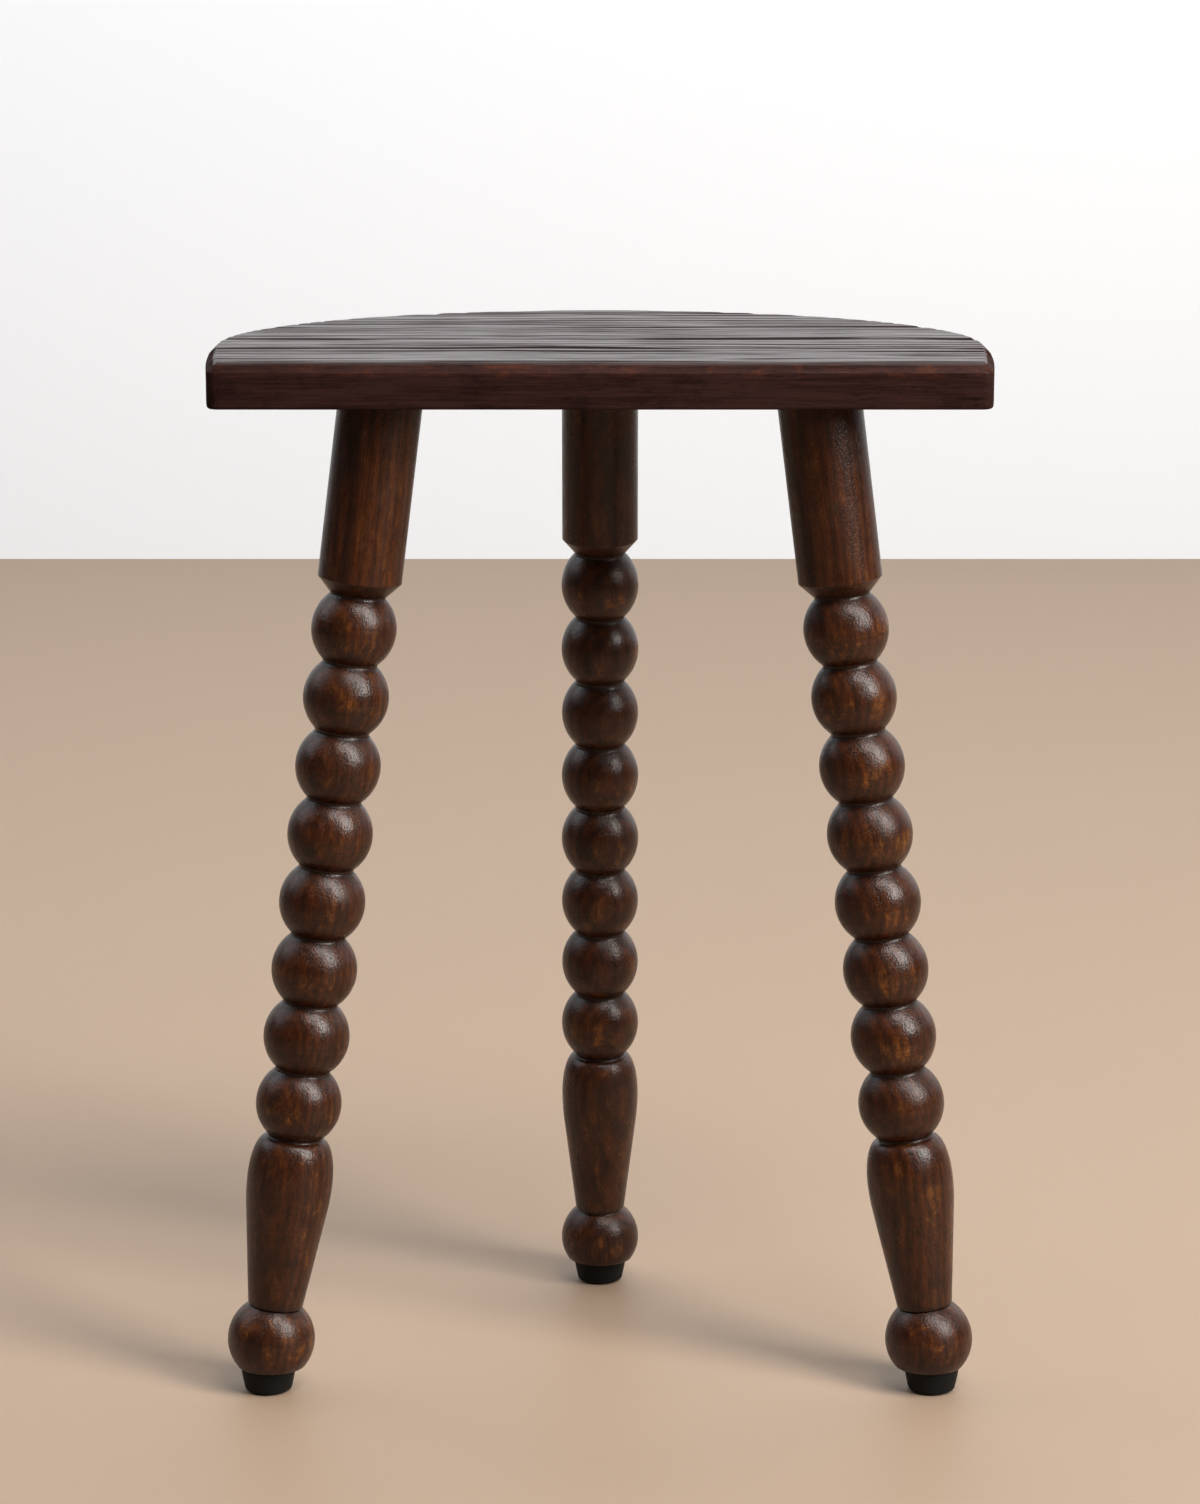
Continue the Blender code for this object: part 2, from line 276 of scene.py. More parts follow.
# %% Rounded profile corners
def rounded(corners, radii, steps=5):
    """A polyline of (a, b) points with each inner corner replaced by a circular arc.

    The arc touches both sides at the distance radius * tan(turn / 2) from the corner.
    """
    corners = [np.array(c, float) for c in corners]
    path = [corners[0]]
    for before, corner, after, radius in zip(corners, corners[1:], corners[2:], radii):
        into, out = corner - before, after - corner
        into, out = into / np.hypot(*into), out / np.hypot(*out)
        turn = math.atan2(into[0] * out[1] - into[1] * out[0], into @ out)
        reach = radius * math.tan(abs(turn) / 2)
        start = corner - into * reach
        side = math.copysign(1, turn)
        centre = start + radius * side * np.array([-into[1], into[0]])
        spoke = start - centre
        for share in np.linspace(0, 1, steps):
            c, s = math.cos(turn * share), math.sin(turn * share)
            path.append(centre + np.array([c * spoke[0] - s * spoke[1], s * spoke[0] + c * spoke[1]]))
    path.append(corners[-1])
    return np.array(path)


def filled(path, longest):
    """Adds points along a polyline's straight stretches, so that no step is longer than longest."""
    steps = np.hypot(*np.diff(path, axis=0).T)
    counts = np.maximum(1, np.ceil(steps / longest).astype(int))
    shares = [np.linspace(0, 1, n, endpoint=False)[:, None] for n in counts]
    parts = [a + (b - a) * share for a, b, share in zip(path, path[1:], shares)]
    return np.concatenate(parts + [path[-1:]])


# %% [markdown]
# ## Finishes
#
# The wood is stained a deep walnut brown and lacquered to a satin gloss. Three effects are shared by
# the board and the legs, so each is built once as a node group and placed in both materials:
#
# - wood fibre: long thin streaks along the grain, with short dark pores between them;
# - stain mottle: the stain takes unevenly, so warm thin places lie beside dark full ones;
# - lacquer skin: sprayed lacquer dries to a fine pebbled skin, which breaks up each highlight.
#
# The groups read a place in the wood, measured in metres with the grain along its third axis.


# %% Node helpers
def feed(tree, socket, value):
    """Links a socket, or sets a number or a colour, on the given input."""
    if isinstance(value, bpy.types.NodeSocket):
        tree.links.new(value, socket)
    else:
        socket.default_value = (*value, 1) if isinstance(value, tuple) else value


def maths(tree, operation, a, b):
    """One Math node on two sockets or numbers, giving its result."""
    node = tree.nodes.new("ShaderNodeMath")
    node.operation = operation
    feed(tree, node.inputs[0], a)
    feed(tree, node.inputs[1], b)
    return node.outputs[0]


def mixture(tree, first, share, second):
    """first * share + second * (1 - share), for two numbers."""
    rest = maths(tree, "MULTIPLY", second, 1 - share)
    return maths(tree, "ADD", maths(tree, "MULTIPLY", first, share), rest)


def spread(tree, value, low, high, to_low=0.0, to_high=1.0):
    """Maps low..high smoothly onto to_low..to_high."""
    node = tree.nodes.new("ShaderNodeMapRange")
    node.interpolation_type = "SMOOTHSTEP"
    tree.links.new(value, node.inputs["Value"])
    for label, number in (("From Min", low), ("From Max", high), ("To Min", to_low), ("To Max", to_high)):
        node.inputs[label].default_value = number
    return node.outputs["Result"]


def blend_colour(tree, share, first, second, mode="MIX"):
    """Mixes two colours by a share, each a socket or a value."""
    node = tree.nodes.new("ShaderNodeMix")
    node.data_type = "RGBA"
    node.blend_type = mode
    for socket, value in zip((node.inputs[0], node.inputs[6], node.inputs[7]), (share, first, second)):
        feed(tree, socket, value)
    return node.outputs[2]


def tinted(tree, colour, share, strength, tint):
    """Moves a colour towards a tint by share * strength."""
    return blend_colour(tree, maths(tree, "MULTIPLY", share, strength), colour, tint)


def brightened(tree, colour, factor):
    """Multiplies all three channels of a colour by one number."""
    grey = tree.nodes.new("ShaderNodeCombineColor")
    for socket in grey.inputs:
        tree.links.new(factor, socket)
    return blend_colour(tree, 1.0, colour, grey.outputs[0], "MULTIPLY")


def noise(tree, place, across, along, detail=2.0, roughness=0.5, distortion=0.0):
    """Noise from 0 to 1, in blobs of about `across` metres over the grain and `along` metres with it."""
    scaled = tree.nodes.new("ShaderNodeMapping")
    tree.links.new(place, scaled.inputs["Vector"])
    scaled.inputs["Scale"].default_value = (1 / across, 1 / across, 1 / along)
    made = tree.nodes.new("ShaderNodeTexNoise")
    tree.links.new(scaled.outputs["Vector"], made.inputs["Vector"])
    settings = {"Scale": 1.0, "Detail": detail, "Roughness": roughness, "Distortion": distortion}
    for label, value in settings.items():
        made.inputs[label].default_value = value
    return made.outputs[0]


# %% The shared effects
def shared_effect(name, outputs):
    """An empty shader group with the input Place and the given number outputs."""
    tree = bpy.data.node_groups.new(name, "ShaderNodeTree")
    tree.interface.new_socket("Place", in_out="INPUT", socket_type="NodeSocketVector")
    for label in outputs:
        tree.interface.new_socket(label, in_out="OUTPUT", socket_type="NodeSocketFloat")
    return tree, tree.nodes.new("NodeGroupInput").outputs["Place"], tree.nodes.new("NodeGroupOutput").inputs


def wood_fibre_group():
    """Streak: fine fibre lines. Pore: short dark dashes. Height: both, as relief."""
    tree, place, out = shared_effect("wood_fibre", ["Streak", "Pore", "Height"])
    fine = noise(tree, place, 0.0009, 0.030, detail=4.0, roughness=0.62)
    broad = noise(tree, place, 0.0042, 0.090, detail=3.0)
    streak = mixture(tree, fine, 0.55, broad)
    dash = noise(tree, place, 0.00045, 0.0065, roughness=0.55)
    grouping = noise(tree, place, 0.006, 0.022)
    pore = maths(tree, "MULTIPLY", spread(tree, dash, 0.57, 0.67), spread(tree, grouping, 0.42, 0.62))
    height = maths(tree, "SUBTRACT", maths(tree, "MULTIPLY", streak, 0.6), pore)
    tree.links.new(streak, out["Streak"])
    tree.links.new(pore, out["Pore"])
    tree.links.new(height, out["Height"])
    return tree


def stain_mottle_group():
    """Thin: places where the stain took thinly. Full: places where it took deeply."""
    tree, place, out = shared_effect("stain_mottle", ["Thin", "Full"])
    cloud = noise(tree, place, 0.011, 0.019, detail=5.0, roughness=0.62, distortion=0.7)
    curl = noise(tree, place, 0.0032, 0.0048, detail=3.0, roughness=0.6, distortion=1.4)
    both = mixture(tree, cloud, 0.68, curl)
    tree.links.new(spread(tree, both, 0.50, 0.66), out["Thin"])
    tree.links.new(spread(tree, both, 0.49, 0.36), out["Full"])
    return tree


def lacquer_skin_group():
    """Height: the pebbled skin of sprayed lacquer. Gloss: slow changes in how shiny it dried."""
    tree, place, out = shared_effect("lacquer_skin", ["Height", "Gloss"])
    tree.links.new(noise(tree, place, 0.0011, 0.0017), out["Height"])
    tree.links.new(noise(tree, place, 0.013, 0.020), out["Gloss"])
    return tree


WOOD_EFFECTS = (wood_fibre_group(), stain_mottle_group(), lacquer_skin_group())
print("shared effects:", [group.name for group in WOOD_EFFECTS])


# %% Material helpers
def wood_effects(tree, place):
    """Puts fibre, mottle and skin in a material and gives their outputs."""
    made = []
    for group in WOOD_EFFECTS:
        node = tree.nodes.new("ShaderNodeGroup")
        node.node_tree = group
        tree.links.new(place, node.inputs["Place"])
        made.append(node.outputs)
    return made


def attribute(tree, name, output="Fac"):
    """Reads a number, or with output "Vector" a place, that the mesh carries."""
    node = tree.nodes.new("ShaderNodeAttribute")
    node.attribute_name = name
    return node.outputs[output]


def new_finish(name, roughness):
    """A material with its Principled shader, ready for its nodes."""
    made = bpy.data.materials.new(name)
    made.use_nodes = True
    shader = made.node_tree.nodes["Principled BSDF"]
    shader.inputs["Roughness"].default_value = roughness
    return made, made.node_tree, shader


def relief(tree, shader, heights):
    """Chains Bump nodes, each (height socket, distance in metres, strength), into the shader's normal."""
    normal = None
    for height, distance, strength in heights:
        bump = tree.nodes.new("ShaderNodeBump")
        bump.inputs["Distance"].default_value = distance
        bump.inputs["Strength"].default_value = strength
        tree.links.new(height, bump.inputs["Height"])
        if normal is not None:
            tree.links.new(normal, bump.inputs["Normal"])
        normal = bump.outputs["Normal"]
    tree.links.new(normal, shader.inputs["Normal"])


# %% [markdown]
# ## Leg finish
#
# The necks and the ankle carry painted shade: the colour is darkened there, where the grooves fall
# into shadow. Walnut stain wears thin on the belly of each bead, where the sandpaper touches first,
# and this warm band is set low on each bead as a painted warm glow of floor light. Turning also cuts
# through the growth rings, which show as darker bands and closed loops. The leg's mesh carries three
# numbers for this: how close a point is to a neck, how close it is to a belly, and how dark its growth
# ring is. Fine rings left by the turning tool go round the leg.

# %% Leg finish
WALNUT = (0.042, 0.0110, 0.0027)
WALNUT_DEEP = (0.0085, 0.0030, 0.0017)
WALNUT_WARM = (0.165, 0.054, 0.0090)


def leg_finish():
    """Stained and lacquered wood, with painted shade in the necks and a warm, painted glow low on the
    bellies.
    """
    made, tree, shader = new_finish("leg_wood_finish", 0.34)
    shader.inputs["Specular IOR Level"].default_value = 0.30
    place = attribute(tree, "blank", "Vector")
    neck, belly, figure = (attribute(tree, name) for name in ("neck", "belly", "figure"))
    fibre, mottle, skin = wood_effects(tree, place)
    # Painted warm glow: the belly nearness sits low on each bead and warms the colour there as floor light
    # would, on top of the stain's real thin wear.
    wear_and_glow = maths(tree, "ADD", maths(tree, "MULTIPLY", belly, 0.8), 0.15)
    colour = blend_colour(tree, maths(tree, "MULTIPLY", mottle["Thin"], wear_and_glow), WALNUT, WALNUT_WARM)
    for share, strength in ((mottle["Full"], 0.55), (figure, 0.5), (fibre["Pore"], 0.85)):
        colour = tinted(tree, colour, share, strength, WALNUT_DEEP)
    colour = brightened(tree, colour, spread(tree, fibre["Streak"], 0.38, 0.60, 0.66, 1.30))
    # Painted shade: the necks and the ankle are darkened towards deep walnut, where the grooves fall into
    # shadow.
    colour = tinted(tree, colour, neck, 0.8, WALNUT_DEEP)
    # Noise that hardly changes across the leg makes rings round it.
    rings = noise(tree, place, 0.25, 0.0006)
    ringed = brightened(tree, colour, spread(tree, rings, 0.40, 0.62, 0.78, 1.18))
    colour = tinted(tree, colour, belly, 0.8, ringed)
    tree.links.new(colour, shader.inputs["Base Color"])
    tree.links.new(spread(tree, skin["Gloss"], 0.3, 0.7, 0.26, 0.37), shader.inputs["Roughness"])
    heights = [(rings, 0.00006, 0.5), (fibre["Height"], 0.00014, 0.5), (skin["Height"], 0.0004, 0.5)]
    relief(tree, shader, heights)
    return made


LEG_FINISH = leg_finish()

# %% [markdown]
# ## The turned legs
#
# Each leg is one length of wood turned between centres: a round tenon for the board, a plain collar,
# eight round beads, a vase that tapers down to the ankle, and a ball foot. After turning, the leg is
# tilted, and the collar's shoulder and the underside of the ball are sawn level.
#
# A lathe makes a surface of revolution, so the shape is one profile: the radius as a function of the
# distance s along the axis. The two level cuts depend on the angle round the axis as well, and they
# have a closed form, because each one is a plane meeting a cylinder or a sphere.

# %% Sizes of the turning
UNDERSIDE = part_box("seat_board")[0].z
GLUE_GAP = 0.3  # between any two pieces that touch
BALL_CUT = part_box("left_foot_pad")[1].z + GLUE_GAP * MM
SIDE_SPLAY = math.radians(7.1)
FORWARD_SPLAY = math.radians(2.6)
REAR_SPLAY = math.radians(5.2)

TENON_RADIUS = 11.0
TENON_LENGTH = 16.5
TENON_CHAMFER = 0.8
COLLAR_RADIUS = 22.1
COLLAR_END = 97.0
FIRST_NECK = 104.8
BEAD_COUNT = 8
BEAD_PITCH = 36.84
BEAD_RADIUS = 22.5
BEAD_GROWTH = 0.06
BEAD_HALF_LENGTH = 23.1  # a bead is a little longer than a ball would be
GROOVE_EDGE = 15.2  # radius where a bead ends and its groove starts
GROOVE_RADIUS = 14.2
VASE_RADIUS = 22.9
VASE_SHOULDER = 24.0
VASE_EASE = 16.0
VASE_TAPER = 0.132
VASE_LENGTH = 94.0
ANKLE_RADIUS = 13.3
BALL_RADIUS = 23.4
SCREW_HOLE_RADIUS = 2.2
SCREW_HOLE_TOP = 36.3
REAR_GIRTH = 0.935  # the rear leg is turned a little slimmer
LAST_NECK = FIRST_NECK + BEAD_COUNT * BEAD_PITCH
BALL_CENTRE = LAST_NECK + VASE_LENGTH + math.sqrt(BALL_RADIUS**2 - ANKLE_RADIUS**2)
AROUND = 112  # points round a leg
print("a leg's beads reach from", FIRST_NECK, "to", round(LAST_NECK, 1), "mm below the board")


# %% The turned profile, from the collar's edge to the ankle
def bead_run(centre, radius, steps=34):
    """One bead as (radius, s): the part of an ellipse outside the groove's edge.

    r = radius * sin(a) and s = centre - half length * cos(a), from where r is the groove's edge.
    """
    cut = math.asin(GROOVE_EDGE / radius)
    a = np.linspace(cut, math.pi - cut, steps)
    return np.stack([radius * np.sin(a), centre - BEAD_HALF_LENGTH * np.cos(a)], -1)


def turned_profile(seed):
    """Collar, beads and vase as (radius, s) in mm, with the small differences of hand work."""
    chance = np.random.default_rng(seed)
    collar = [(COLLAR_RADIUS, 40), (COLLAR_RADIUS, COLLAR_END), (GROOVE_EDGE, FIRST_NECK - 0.3),
              (GROOVE_RADIUS, FIRST_NECK)]
    runs = [filled(rounded(collar, [0.35, 0.3]), 2.2)[1:]]
    for i in range(BEAD_COUNT):
        radius = BEAD_RADIUS + i * BEAD_GROWTH + chance.uniform(-0.12, 0.12)
        centre = FIRST_NECK + (i + 0.5) * BEAD_PITCH + chance.uniform(-0.15, 0.15)
        runs.append(bead_run(centre, radius))
        runs.append(np.array([[GROOVE_RADIUS, FIRST_NECK + (i + 1) * BEAD_PITCH]]))
    # The vase starts with a quarter of an ellipse, bends over evenly and then tapers straight.
    turn = np.linspace(0.05, math.pi / 2, 20)
    rise, drop = VASE_RADIUS - GROOVE_EDGE, VASE_SHOULDER - 0.9
    shoulder = [GROOVE_EDGE + rise * np.sin(turn), LAST_NECK + 0.9 + drop * (1 - np.cos(turn))]
    runs.append(np.stack(shoulder, -1))
    run = np.linspace(0, VASE_EASE, 8)[1:]
    start, ankle = LAST_NECK + VASE_SHOULDER, LAST_NECK + VASE_LENGTH
    runs.append(np.stack([VASE_RADIUS - VASE_TAPER * run**2 / (2 * VASE_EASE), start + run], -1))
    end_radius = VASE_RADIUS - VASE_TAPER * (VASE_LENGTH - VASE_SHOULDER - VASE_EASE / 2)
    taper = [tuple(runs[-1][-1]), (end_radius, ankle), (ANKLE_RADIUS, ankle + 0.25)]
    runs.append(filled(rounded(taper, [0.3]), 2.2)[1:])
    return np.concatenate(runs)


print("profile points on one leg:", len(turned_profile(1)))


# %% Placing the turning on its leaning axis
def foot_place(side):
    """The middle of a foot in mm, seen from above."""
    low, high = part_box(f"{side}_foot_pad")
    return (low.x + high.x) / 2 / MM, (low.y + high.y) / 2 / MM


def leg_axis(side, lean):
    """Top of the axis at the board's underside, and the frame (across, across, down) that it hangs in."""
    foot = np.array([*foot_place(side), BALL_CUT / MM]) * MM
    down = np.array(lean) / np.linalg.norm(lean)
    top = foot - down * (UNDERSIDE - BALL_CUT) / -down[2]
    first = np.cross(down, (0, 1, 0))
    first /= np.linalg.norm(first)
    return top, first, np.cross(first, down), down


def spokes(axis, count):
    """Unit vectors evenly round a leaning axis: cos(a) * first + sin(a) * second."""
    angle = angles_round(count)
    return np.cos(angle)[:, None] * axis[1] + np.sin(angle)[:, None] * axis[2]


def level(axis, spoke, radius, height):
    """Distances in mm along the axis where a cylinder of this radius meets the level plane."""
    return (height - axis[0][2] - radius * MM * spoke[:, 2]) / (axis[3][2] * MM)


def leg_grid(axis, girth, seed):
    """Points of one leg on a grid of (station down the axis, angle round it).

    A ring at radius r and distance s is top + down * s + r * spoke. On the level cuts, s or the
    ball's polar angle is solved for each angle, so that z is constant.
    """
    top, down = axis[0], axis[3]
    spoke = spokes(axis, AROUND)

    def ring(radius, s):
        radius, s = np.broadcast_to(radius, AROUND), np.broadcast_to(s, AROUND)
        return top + (s[:, None] * down + radius[:, None] * spoke) * MM

    tenon = [(0.5, -TENON_LENGTH), (TENON_RADIUS, -TENON_LENGTH), (TENON_RADIUS, -6)]
    rows = [ring(r, s) for r, s in rounded(tenon, [TENON_CHAMFER])]
    shoulder, collar = UNDERSIDE - GLUE_GAP * MM, COLLAR_RADIUS * girth
    rows += [ring(r, level(axis, spoke, r, shoulder)) for r in np.linspace(TENON_RADIUS, collar - 0.3, 4)]
    edge = level(axis, spoke, collar, shoulder)
    rows += [ring(collar, edge + drop) for drop in [0.3, *np.linspace(1.5, 38, 16)]]
    rows += [ring(r, s) for r, s in turned_profile(seed) * (girth, 1) if s > 44]
    # The ball's polar angle b, from its upper pole, meets the cut where
    # centre.z + radius * (sin(b) * spoke.z - cos(b) * down.z) equals the cut's height.
    centre, radius = top + down * BALL_CENTRE * MM, BALL_RADIUS * girth * MM
    p, q = -down[2], spoke[:, 2]
    depth = (BALL_CUT - centre[2]) / radius
    start = math.asin(ANKLE_RADIUS / BALL_RADIUS)
    end = np.arctan2(q, p) + np.arccos(np.clip(depth / np.hypot(p, q), -1, 1))

    def ball(b):
        return centre + radius * (np.sin(b)[:, None] * spoke - np.cos(b)[:, None] * down)

    rows += [ball(start + (end - 0.012 - start) * t) for t in np.linspace(0, 1, 40)]
    # The flat runs in from the ball's sharp rim to the screw hole, which goes straight up.
    rim, foot = ball(end), top + down * (UNDERSIDE - BALL_CUT) / -down[2]
    flat = spoke * (1, 1, 0)
    flat /= np.linalg.norm(flat, axis=1)[:, None]
    hole = foot + flat * SCREW_HOLE_RADIUS * MM
    rows += [rim + (hole - rim) * t for t in (0.03, 0.35, 0.7, 1.0)]
    rows += [hole * (1, 1, 0) + (0, 0, z * MM) for z in (20, 30, SCREW_HOLE_TOP - 1.5)]
    rows.append(foot * (1, 1, 0) + flat * 0.4 * MM + (0, 0, SCREW_HOLE_TOP * MM))
    return np.array(rows)


# %% What the finish needs to know
PITH_AWAY = 34
LEG_RING_WIDTH = 4.6


def leg_values(points, axis, girth):
    """Nearness to a neck and to a belly for each point, and its place in the blank before turning.

    Nearness falls off as exp(-(d / width) ** 2), or with the S-curve of the radius in a groove.
    """
    top, first, second, down = axis
    away = points - top
    s = away @ down / MM
    across = np.stack([away @ first, away @ second], -1)
    radius = np.hypot(*across.T) / MM / girth
    phase = (s - FIRST_NECK) / BEAD_PITCH
    beads = (phase > -0.5) & (phase < BEAD_COUNT + 0.5)
    # Neck nearness places the painted shade in each groove and at the ankle.
    neck = np.where(beads, ease(17.6, 14.2, radius), 0)
    neck = np.maximum(neck, np.exp(-(((s - LAST_NECK - VASE_LENGTH) / 1.6) ** 2)))
    # The belly's middle sits below each bead's equator, at 0.60 of the pitch, where the painted warm glow
    # of floor light goes.
    below = (phase % 1) - 0.60
    belly = np.where(beads & (phase < BEAD_COUNT), np.exp(-((below / 0.19) ** 2)), 0.4)
    belly = np.where(phase < 0, 0.12, belly)
    belly = np.maximum(belly, np.exp(-(((s - BALL_CENTRE) / 9) ** 2)))
    blank = np.concatenate([across, (s * MM)[:, None]], 1)
    return neck, belly, blank


def growth_figure(blank, seed):
    """Darkness of the growth rings, from 0 to 1.

    A ring number is the distance from the pith over the ring width. The pith lies beside the blank
    and wanders along it, so each bead cuts the rings into closed loops.
    """
    x, y, z = blank.T / MM
    turn = 2.1 * seed
    drift = 3.5 * smooth_noise(z, 0 * z, 70, 1, seed)
    x_pith, y_pith = PITH_AWAY * math.cos(turn) + drift, PITH_AWAY * math.sin(turn) - drift
    number = np.hypot(x - x_pith, y - y_pith) / LEG_RING_WIDTH
    number = number + 0.25 * smooth_noise(z, x, 17, 9, seed + 1)
    part = number - np.floor(number)
    return ease(0.15, 0.8, part) * ease(1.0, 0.86, part)


def make_leg(side, lean, girth, seed):
    """One leg, from its axis to the installed piece."""
    axis = leg_axis(side, lean)
    mesh = closed_skin(f"{side}_leg_turned", leg_grid(axis, girth, seed))
    points = np.empty(len(mesh.vertices) * 3, np.float32)
    mesh.vertices.foreach_get("co", points)
    neck, belly, blank = leg_values(points.reshape(-1, 3).astype(float), axis, girth)
    for label, values in (("neck", neck), ("belly", belly), ("figure", growth_figure(blank, seed))):
        add_value(mesh, label, values)
    shift = np.random.default_rng(seed + 50).uniform(0.2, 0.8, 3)
    add_place(mesh, "blank", blank + shift)
    install(f"{side}_leg_turned", mesh, LEG_FINISH, f"{side}_leg")
    return axis


side_lean, forward_lean, rear_lean = (math.tan(a) for a in (SIDE_SPLAY, FORWARD_SPLAY, REAR_SPLAY))
AXES = {
    "left": make_leg("left", (-side_lean, -forward_lean, -1), 1.0, 11),
    "right": make_leg("right", (side_lean, -forward_lean, -1), 1.0, 12),
    "rear": make_leg("rear", (0, rear_lean, -1), REAR_GIRTH, 13),
}

# %% [markdown]
# ## Board finish
#
# The board's top is wire-brushed: the brush tears out the soft wood that grew in spring and leaves the
# hard summer wood standing as ridges. Stain stays dark in the hollows, and lacquer on the ridges
# catches the light. Along the chamfer the stain is rubbed thinner, which lets a red-brown warmth
# through, and the edges are duller than the top. The mesh carries these facts as numbers, and the
# shared effects add fibre and mottling.

# %% Board finish
BOARD_BROWN = (0.023, 0.0098, 0.0088)
BOARD_DEEP = (0.0050, 0.0026, 0.0022)
BOARD_RED = (0.062, 0.0185, 0.0085)


def board_finish():
    """Stained wood that shines on its ridges only, through a coat that the hollows lack."""
    made, tree, shader = new_finish("board_wood_finish", 0.5)
    for label, value in (("Specular IOR Level", 0.0), ("Coat Roughness", 0.3), ("Coat IOR", 1.62)):
        shader.inputs[label].default_value = value
    place = attribute(tree, "blank", "Vector")
    valley, rubbed, edge = (attribute(tree, name) for name in ("valley", "rubbed", "edge"))
    fibre, mottle, skin = wood_effects(tree, place)
    thin = maths(tree, "ADD", maths(tree, "MULTIPLY", mottle["Thin"], 0.75), 0.12)
    colour = blend_colour(tree, maths(tree, "MULTIPLY", rubbed, thin), BOARD_BROWN, BOARD_RED)
    colour = tinted(tree, colour, mottle["Full"], 0.4, BOARD_DEEP)
    colour = tinted(tree, colour, fibre["Pore"], 0.8, BOARD_DEEP)
    colour = brightened(tree, colour, spread(tree, fibre["Streak"], 0.36, 0.62, 0.7, 1.25))
    colour = tinted(tree, colour, valley, 0.7, BOARD_DEEP)
    tree.links.new(colour, shader.inputs["Base Color"])
    coat = maths(tree, "MULTIPLY", spread(tree, valley, 0.12, 0.58, 1.0, 0.10),
                 spread(tree, fibre["Streak"], 0.38, 0.54, 0.55, 1.0))
    coat = maths(tree, "MULTIPLY", coat, spread(tree, edge, 0.0, 1.0, 1.0, 0.10))
    tree.links.new(coat, shader.inputs["Coat Weight"])
    relief(tree, shader, [(fibre["Height"], 0.00016, 0.5), (skin["Height"], 0.00010, 0.4)])
    return made


BOARD_FINISH = board_finish()

# %% [markdown]
# ## The board's outline
#
# The plan is a straight edge, two small rounded corners, sides that swell a little, and half an
# ellipse behind them. A chamfer needs the same outline again, moved inwards by an even distance, so
# the outline is written as a point and an inward direction for each station.

# %% Outline with its inward directions
board_low, board_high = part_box("seat_board")
EDGE_Y = board_low.y / MM
HALF_WIDTH = board_high.x / MM
DEPTH = (board_high.y - board_low.y) / MM
THICKNESS = (board_high.z - board_low.z) / MM
TOP_Z = board_high.z / MM
SWELL = 4.0
WIDEST_AT = 68.0
CORNER_RADIUS = 6.0
CHAMFER = 5.0
BOTTOM_ROUND = 1.6


def side_slope(y):
    """How fast the side runs outwards at y: the side is half - swell * (1 - y / widest) squared."""
    return 2 * SWELL / WIDEST_AT * (1 - y / WIDEST_AT)


def back_curve(a):
    """Points and inward directions of the half ellipse behind, at angle a from its right end.

    A point is (half width * cos(a), widest + depth * sin(a)).
    """
    deep = DEPTH - WIDEST_AT
    points = np.stack([HALF_WIDTH * np.cos(a), WIDEST_AT + deep * np.sin(a)], -1)
    inwards = np.stack([-np.cos(a) / HALF_WIDTH, -np.sin(a) / deep], -1)
    return points, inwards / np.hypot(*inwards.T)[:, None]


def right_side():
    """Stations from the straight edge's end round the right side to just before the middle of the back.

    Each has a point and an inward direction, in mm behind the middle of the straight edge.
    """
    meet = CORNER_RADIUS
    for _ in range(4):
        turn = math.atan2(1, side_slope(meet))
        meet = CORNER_RADIUS * (1 - math.cos(turn))
    centre_x = HALF_WIDTH - SWELL * (1 - meet / WIDEST_AT) ** 2 - CORNER_RADIUS * math.sin(turn)
    phi = np.linspace(0, turn, 9)
    inward = np.stack([-np.sin(phi), np.cos(phi)], -1)
    corner = np.array([centre_x, CORNER_RADIUS]) - CORNER_RADIUS * inward
    y = np.linspace(meet, WIDEST_AT, 150)[1:]
    side = np.stack([HALF_WIDTH - SWELL * (1 - y / WIDEST_AT) ** 2, y], -1)
    side_in = np.stack([-np.ones_like(y), side_slope(y)], -1)
    back, back_in = back_curve(np.arcsin(np.linspace(0, 1, 270)[1:-1]))
    points = np.concatenate([corner, side, back])
    inwards = np.concatenate([inward, side_in, back_in])
    return points, inwards / np.hypot(*inwards.T)[:, None]


RIGHT, RIGHT_IN = right_side()
ACROSS = 121  # points along the grain
print("stations on one side:", len(RIGHT), "straight edge to", round(RIGHT[0, 0], 1), "mm")


# %% [markdown]
# ## Growth rings and the brushed relief
#
# A board is sawn out of a log, so its rings are cylinders about a pith that lies somewhere outside the
# board, with the grain running left to right. The ring number of a point is its distance from the
# pith divided by the ring width, with slow wanderings. Each ring has a soft part that the brush
# hollows out: the hollow deepens gradually and ends sharply at the hard summer wood.

# %% Ring number and hollow depth
PITH_Y, PITH_Z = -90.0, -110.0
RING_WIDTH = 6.4
BRUSH_DEPTH = 0.55
WIDE_RINGS_AT = (44, 57, 92, 131, 181)  # mm behind the straight edge, in the middle
# Place, length, width and strength of each swirl, in mm.
SWIRLS = [(-95, 128, 62, 9, 6.5), (-20, 58, 48, 7, -5.0), (60, 60, 80, 8, 4.0), (135, 92, 46, 10, -4.5),
          (-150, 66, 45, 6, 4.5), (30, 160, 70, 10, -5.0)]


def ring_number(x, y, z):
    """Rings between the pith and a point: distance over ring width, plus slow changes of width.

    The distance is bent by noise along the grain and by a few swirls, where the grain parts.
    """
    bend = 2.4 * smooth_noise(x, y, 150, 70, 3) + 1.0 * smooth_noise(x, y, 62, 21, 4)
    for at_x, at_y, long, wide, push in SWIRLS:
        bend = bend + push * np.exp(-(((x - at_x) / long) ** 2) - ((y - at_y) / wide) ** 2)
    r = np.hypot(y - PITH_Y + bend, z - PITH_Z)
    return r / RING_WIDTH + 0.45 * np.sin(r / 13.0) + 0.3 * np.sin(r / 5.3 + 1.0)


